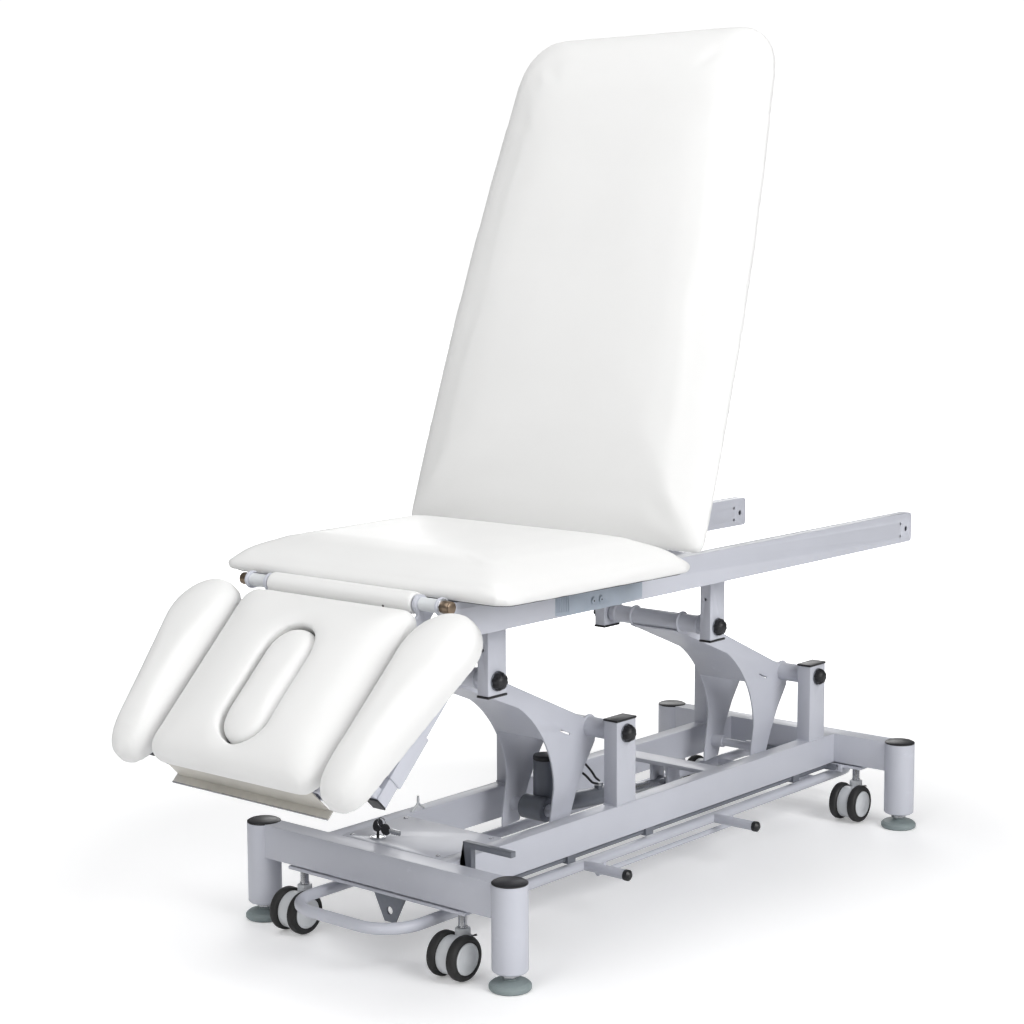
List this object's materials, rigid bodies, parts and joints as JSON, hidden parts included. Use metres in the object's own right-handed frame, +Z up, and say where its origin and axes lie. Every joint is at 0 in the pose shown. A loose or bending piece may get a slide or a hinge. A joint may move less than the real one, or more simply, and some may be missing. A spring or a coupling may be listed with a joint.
{
  "type": "podiatry chair",
  "caption": "Treatment couch with raised tapered back, level seat, drop front with a plugged face opening and side rests, on a parallelogram lift base with retractable castors.",
  "frame": {"origin": "on the floor, under the middle of the whole chair's box", "axes": "+Z up, +Y from the front section toward the back and the rails' free ends, +X to the side with the hand control"},
  "size_m": [0.684, 1.7227, 1.5722],
  "materials": {
    "frame_paint": "satin light grey powder coat",
    "dark_steel": "dark grey",
    "bright_steel": "satin",
    "black_plastic": "satin black",
    "foot_plastic": "grey-green",
    "white_plastic": "satin white",
    "pale_plastic": "pale blue-grey",
    "tyre_rubber": "matt black",
    "upholstery": "smooth white vinyl",
    "board": "plywood under a black cloth",
    "bolt": "passivated",
    "tray_metal": "anodised brown-grey"
  },
  "bodies": {
    "base": {"base_rails": "frame_paint", "crossbeams": "frame_paint", "legs": "frame_paint", "base_end_caps": "black_plastic", "posts": "frame_paint", "cover_plate": "frame_paint", "control_box": "black_plastic", "key_lock": "bright_steel", "underframe_brackets": "dark_steel", "post_axles": "black_plastic"},
    "key": {"key": "black_plastic"},
    "front_arm": {"front_arm": "frame_paint"},
    "rear_arm": {"rear_arm": "frame_paint"},
    "lift_motor": {"lift_motor": "dark_steel", "motor_cable": "black_plastic"},
    "lift_rod": {"lift_rod": "bright_steel"},
    "top_frame": {"top_rails": "frame_paint", "top_cross_members": "frame_paint", "hangers": "frame_paint", "top_end_caps": "black_plastic", "hanger_axles": "black_plastic", "hand_control": "pale_plastic", "seat_board": "board", "seat_cushion": "upholstery", "hinge_bolts": "bolt", "hinge_bushes": "white_plastic"},
    "button_up": {"button_up": "pale_plastic"},
    "button_down": {"button_down": "pale_plastic"},
    "back": {"back_frame": "frame_paint", "back_board": "board", "back_cushion": "upholstery"},
    "back_strut_tube": {"back_strut_tube": "black_plastic"},
    "back_strut_rod": {"back_strut_rod": "bright_steel"},
    "front_section": {"front_frame": "frame_paint", "front_board": "board", "front_cushion": "upholstery", "hinge_roll": "upholstery", "tray_rail": "tray_metal"},
    "face_plug": {"face_plug": "upholstery"},
    "armrest_left": {"armrest_left_bracket": "frame_paint", "armrest_left_pad": "upholstery"},
    "armrest_right": {"armrest_right_bracket": "frame_paint", "armrest_right_pad": "upholstery"},
    "castor_lever": {"castor_lever": "dark_steel"},
    "castor_bar_front": {"castor_bar_front": "frame_paint"},
    "castor_bar_rear": {"castor_bar_rear": "frame_paint"},
    "foot_bar": {"foot_bar": "frame_paint", "peg_caps": "black_plastic"},
    "foot_front_left": {"foot_front_left": "foot_plastic"},
    "castor_front_left": {"castor_front_left_fork": "white_plastic"},
    "castor_front_left_wheels": {"castor_front_left_wheels": "tyre_rubber"},
    "foot_front_right": {"foot_front_right": "foot_plastic"},
    "castor_front_right": {"castor_front_right_fork": "white_plastic"},
    "castor_front_right_wheels": {"castor_front_right_wheels": "tyre_rubber"},
    "foot_rear_left": {"foot_rear_left": "foot_plastic"},
    "castor_rear_left": {"castor_rear_left_fork": "white_plastic"},
    "castor_rear_left_wheels": {"castor_rear_left_wheels": "tyre_rubber"},
    "foot_rear_right": {"foot_rear_right": "foot_plastic"},
    "castor_rear_right": {"castor_rear_right_fork": "white_plastic"},
    "castor_rear_right_wheels": {"castor_rear_right_wheels": "tyre_rubber"}
  },
  "joints": [
    {"name": "foot_front_left_height", "type": "slide", "parent": "base", "child": "foot_front_left", "axis": [0, 0, -1], "range_m": [0, 0.02]},
    {"name": "castor_front_left_swivel", "type": "hinge", "parent": "castor_bar_front", "child": "castor_front_left", "pos_m": [-0.184, -0.5, 0.09], "axis": [0, 0, 1], "continuous": true},
    {"name": "castor_front_left_roll", "type": "hinge", "parent": "castor_front_left", "child": "castor_front_left_wheels", "pos_m": [-0.184, -0.522, 0.0395], "axis": [1, 0, 0], "continuous": true},
    {"name": "foot_front_right_height", "type": "slide", "parent": "base", "child": "foot_front_right", "axis": [0, 0, -1], "range_m": [0, 0.02]},
    {"name": "castor_front_right_swivel", "type": "hinge", "parent": "castor_bar_front", "child": "castor_front_right", "pos_m": [0.184, -0.5, 0.09], "axis": [0, 0, 1], "continuous": true},
    {"name": "castor_front_right_roll", "type": "hinge", "parent": "castor_front_right", "child": "castor_front_right_wheels", "pos_m": [0.184, -0.522, 0.0395], "axis": [1, 0, 0], "continuous": true},
    {"name": "foot_rear_left_height", "type": "slide", "parent": "base", "child": "foot_rear_left", "axis": [0, 0, -1], "range_m": [0, 0.02]},
    {"name": "castor_rear_left_swivel", "type": "hinge", "parent": "castor_bar_rear", "child": "castor_rear_left", "pos_m": [-0.184, 0.72, 0.09], "axis": [0, 0, 1], "continuous": true},
    {"name": "castor_rear_left_roll", "type": "hinge", "parent": "castor_rear_left", "child": "castor_rear_left_wheels", "pos_m": [-0.184, 0.698, 0.0395], "axis": [1, 0, 0], "continuous": true},
    {"name": "foot_rear_right_height", "type": "slide", "parent": "base", "child": "foot_rear_right", "axis": [0, 0, -1], "range_m": [0, 0.02]},
    {"name": "castor_rear_right_swivel", "type": "hinge", "parent": "castor_bar_rear", "child": "castor_rear_right", "pos_m": [0.184, 0.72, 0.09], "axis": [0, 0, 1], "continuous": true},
    {"name": "castor_rear_right_roll", "type": "hinge", "parent": "castor_rear_right", "child": "castor_rear_right_wheels", "pos_m": [0.184, 0.698, 0.0395], "axis": [1, 0, 0], "continuous": true},
    {"name": "key_turn", "type": "hinge", "parent": "base", "child": "key", "pos_m": [-0.052, -0.452, 0.177], "axis": [0, 0, 1], "range_deg": [0, 90]},
    {"name": "lift", "type": "hinge", "parent": "base", "child": "front_arm", "pos_m": [0, -0.008, 0.308], "axis": [-1, 0, 0], "range_deg": [-35, 32]},
    {"name": "rear_arm_turn", "type": "hinge", "parent": "base", "child": "rear_arm", "pos_m": [0, 0.632, 0.308], "axis": [-1, 0, 0], "range_deg": [-35, 32]},
    {"name": "top_frame_level", "type": "hinge", "parent": "front_arm", "child": "top_frame", "pos_m": [0, -0.358, 0.46], "axis": [-1, 0, 0], "range_deg": [-32, 35]},
    {"name": "lift_motor_turn", "type": "hinge", "parent": "front_arm", "child": "lift_motor", "pos_m": [0, -0.09095, 0.16199], "axis": [1, 0, 0], "range_deg": [-29.06, 26.57]},
    {"name": "lift_rod_travel", "type": "slide", "parent": "lift_motor", "child": "lift_rod", "axis": [0, 0.9968, -0.0805], "range_m": [-0.0923, 0.0844]},
    {"name": "button_up_press", "type": "slide", "parent": "top_frame", "child": "button_up", "axis": [-1, 0, 0], "range_m": [0, 0.0015], "stiffness_N_per_m": 600},
    {"name": "button_down_press", "type": "slide", "parent": "top_frame", "child": "button_down", "axis": [-1, 0, 0], "range_m": [0, 0.0015], "stiffness_N_per_m": 600},
    {"name": "back_recline", "type": "hinge", "parent": "top_frame", "child": "back", "pos_m": [0, -0.052, 0.634], "axis": [-1, 0, 0], "range_deg": [0, 71.6]},
    {"name": "back_strut_turn", "type": "hinge", "parent": "top_frame", "child": "back_strut_tube", "pos_m": [0, 0.326, 0.621], "axis": [1, 0, 0], "range_deg": [0, 18.86]},
    {"name": "back_strut_travel", "type": "slide", "parent": "back_strut_tube", "child": "back_strut_rod", "axis": [0, -0.9637, 0.2669], "range_m": [-0.0447, 0]},
    {"name": "front_section_tilt", "type": "hinge", "parent": "top_frame", "child": "front_section", "pos_m": [0, -0.579, 0.624], "axis": [-1, 0, 0], "range_deg": [-20, 45]},
    {"name": "face_plug_lift", "type": "slide", "parent": "front_section", "child": "face_plug", "axis": [0, -0.7071, 0.7071], "range_m": [0, 0.1]},
    {"name": "armrest_left_slide", "type": "slide", "parent": "front_section", "child": "armrest_left", "axis": [0, -0.7071, -0.7071], "range_m": [0, 0.07]},
    {"name": "armrest_right_slide", "type": "slide", "parent": "front_section", "child": "armrest_right", "axis": [0, -0.7071, -0.7071], "range_m": [0, 0.07]},
    {"name": "castor_lever_press", "type": "hinge", "parent": "base", "child": "castor_lever", "pos_m": [0.128, 0.1, 0.109], "axis": [0, 1, 0], "range_deg": [0, 20]},
    {"name": "castor_bar_front_travel", "type": "slide", "parent": "base", "child": "castor_bar_front", "axis": [0, 0, -1], "range_m": [0, 0.008]},
    {"name": "castor_bar_rear_travel", "type": "slide", "parent": "base", "child": "castor_bar_rear", "axis": [0, 0, -1], "range_m": [0, 0.008]},
    {"name": "foot_bar_rock", "type": "hinge", "parent": "base", "child": "foot_bar", "pos_m": [0, 0.1, 0.084], "axis": [0, 1, 0], "range_deg": [-1.5, 1.5], "stiffness_Nm_per_rad": 400}
  ],
  "couplings": [
    {"joint": "rear_arm_turn", "follows": "lift", "ratio": 1},
    {"joint": "top_frame_level", "follows": "lift", "ratio": -1},
    {"joint": "lift_motor_turn", "follows": "lift", "ratio": 0.83},
    {"joint": "lift_rod_travel", "follows": "lift", "m_per_rad": 0.151},
    {"joint": "back_strut_turn", "follows": "back_recline", "ratio": 0.26337},
    {"joint": "back_strut_travel", "follows": "back_recline", "m_per_rad": -0.03578},
    {"joint": "castor_bar_front_travel", "follows": "castor_lever_press", "m_per_rad": 0.0229},
    {"joint": "castor_bar_rear_travel", "follows": "castor_lever_press", "m_per_rad": 0.0229}
  ]
}
